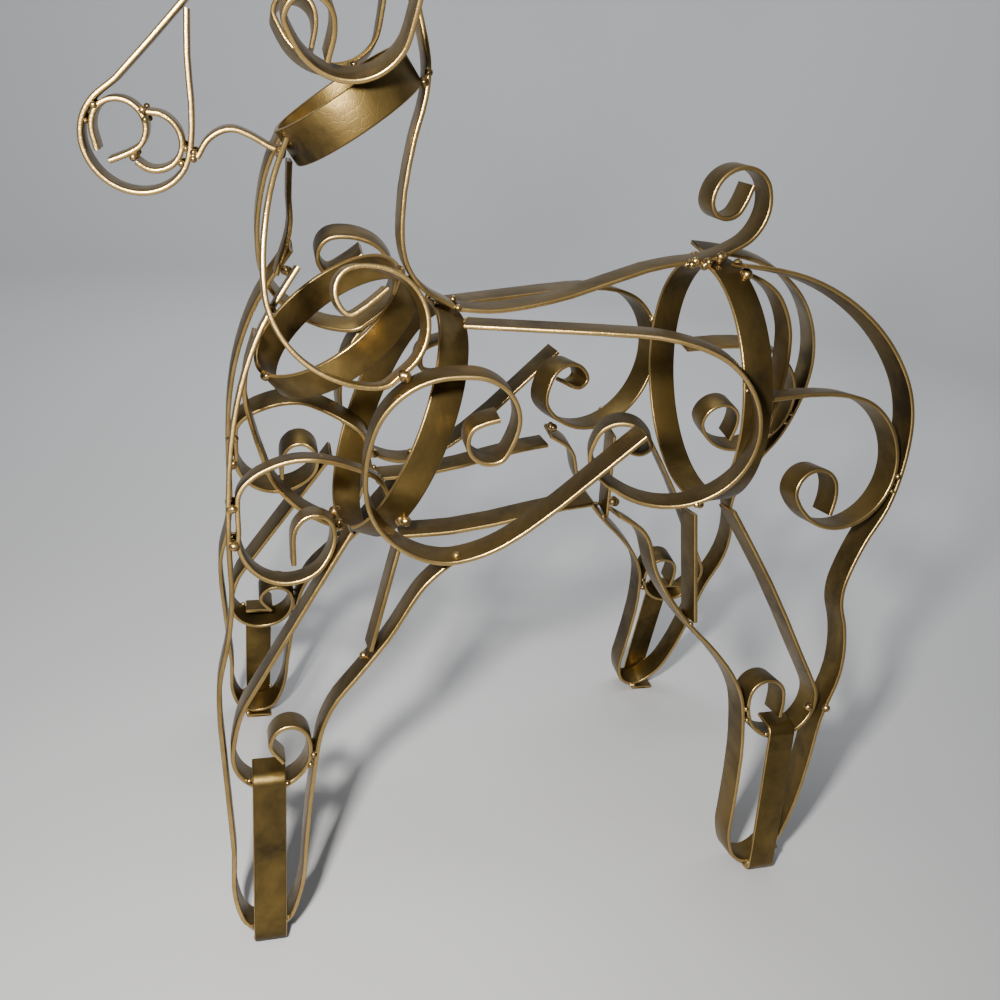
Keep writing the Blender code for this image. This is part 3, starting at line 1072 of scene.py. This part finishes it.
@dataclass
class Studio:
    """The floor, the lights and the camera."""

    floor_radius: float = 1.5
    sweep: float = 0.7
    wall: float = 1.6
    sweep_steps: int = 12
    floor_turns: int = 96
    paper: PalePaper = PalePaper()
    eye: Triple = (-0.144, -0.4464, 0.4134)
    right: Triple = (0.9613, -0.2554, 0.1035)
    up: Triple = (0.0165, 0.4287, 0.9033)
    back: Triple = (-0.2752, -0.8665, 0.4163)
    lens: float = 33.66
    key_left: float = 0.10
    key_above: float = 0.07
    sky: Triple = (0.90, 0.93, 1.0)
    sky_strength: float = 0.12

    def build(self) -> None:
        """Build the whole studio."""
        self._floor()
        self._camera()
        self._lights()

    def _floor(self) -> None:
        """Turn a floor that curves up into a wall all round the object."""
        profile = [(0.0, 0.0), (0.5 * self.floor_radius, 0.0)]
        for step in range(self.sweep_steps + 1):
            angle = math.radians(90 * step / self.sweep_steps)
            reach = self.floor_radius + self.sweep * math.sin(angle)
            profile.append((reach, self.sweep * (1 - math.cos(angle))))
        profile.append((self.floor_radius + self.sweep, self.wall))
        turns = self.floor_turns
        points = [(0.0, 0.0, 0.0)]
        for reach, height in profile[1:]:
            for turn in range(turns):
                angle = 2 * math.pi * turn / turns
                points.append((reach * math.cos(angle), reach * math.sin(angle), height))
        faces: list[tuple[int, ...]] = [(0, 1 + turn, 1 + (turn + 1) % turns) for turn in range(turns)]
        for ring in range(len(profile) - 2):
            low = 1 + ring * turns
            for turn in range(turns):
                after = (turn + 1) % turns
                faces.append((low + turn, low + turns + turn, low + turns + after, low + after))
        mesh = bpy.data.meshes.new("floor")
        mesh.from_pydata(points, [], faces)
        mesh.shade_smooth()
        mesh.materials.append(self.paper.material())
        floor = bpy.data.objects.new("floor", mesh)
        bpy.context.scene.collection.objects.link(floor)

    def _camera(self) -> None:
        """Place the camera where the photograph's stood."""
        data = bpy.data.cameras.new("camera")
        data.lens = self.lens
        data.sensor_width = 36.0
        data.clip_start = 0.01
        camera = bpy.data.objects.new("camera", data)
        turn = Matrix((self.right, self.up, self.back)).transposed().normalized()
        camera.matrix_world = Matrix.Translation(self.eye) @ turn.to_4x4()
        bpy.context.scene.collection.objects.link(camera)
        bpy.context.scene.camera = camera

    def _lights(self) -> None:
        """Light the reindeer from beside the camera, with a soft fill and a light on the wall behind."""
        eye, right, up = Vector(self.eye), Vector(self.right), Vector(self.up)
        beside = eye - right * self.key_left + up * self.key_above
        self._area("key", beside, (0.0, 0.0, 0.27), 0.05, 10.0, (1.0, 0.97, 0.93))
        self._area("fill", Vector((-0.5, -0.5, 1.6)), (0.0, 0.0, 0.2), 1.4, 2.5, (0.95, 0.98, 1.0))
        self._area("backdrop", Vector((0.2, 0.6, 1.35)), (0.6, 2.0, 0.2), 1.2, 34.0, (0.97, 0.98, 1.0))
        world = bpy.data.worlds.new("studio")
        world.use_nodes = True
        shade = world.node_tree.nodes["Background"]
        shade.inputs["Color"].default_value = (*self.sky, 1.0)
        shade.inputs["Strength"].default_value = self.sky_strength
        bpy.context.scene.world = world

    @staticmethod
    def _area(
        name: str, place: Vector, target: Triple, size: float, power: float, colour: Triple
    ) -> None:
        """Add a square area light that faces a target.

        Args:
            name: The light's name.
            place: Where it stands.
            target: What it faces.
            size: Its side in metres.
            power: Its power in watts.
            colour: Its colour.
        """
        data = bpy.data.lights.new(name, "AREA")
        data.size = size
        data.energy = power
        data.color = colour
        light = bpy.data.objects.new(name, data)
        light.location = place
        light.rotation_mode = "QUATERNION"
        light.rotation_quaternion = (Vector(target) - place).to_track_quat("-Z", "Y")
        bpy.context.scene.collection.objects.link(light)


def main() -> None:
    """Build every group in order, then the welds and the studio."""
    logging.basicConfig(level=logging.INFO, format="%(name)s: %(message)s")
    effects = Effects()
    maker = StripMaker()
    groups = [Legs(), Body(), Head()]
    for group in groups:
        group.build(maker, effects)
    Welds().build(WeldMaker(), groups, effects)
    Studio().build()


if __name__ == "__main__":
    main()
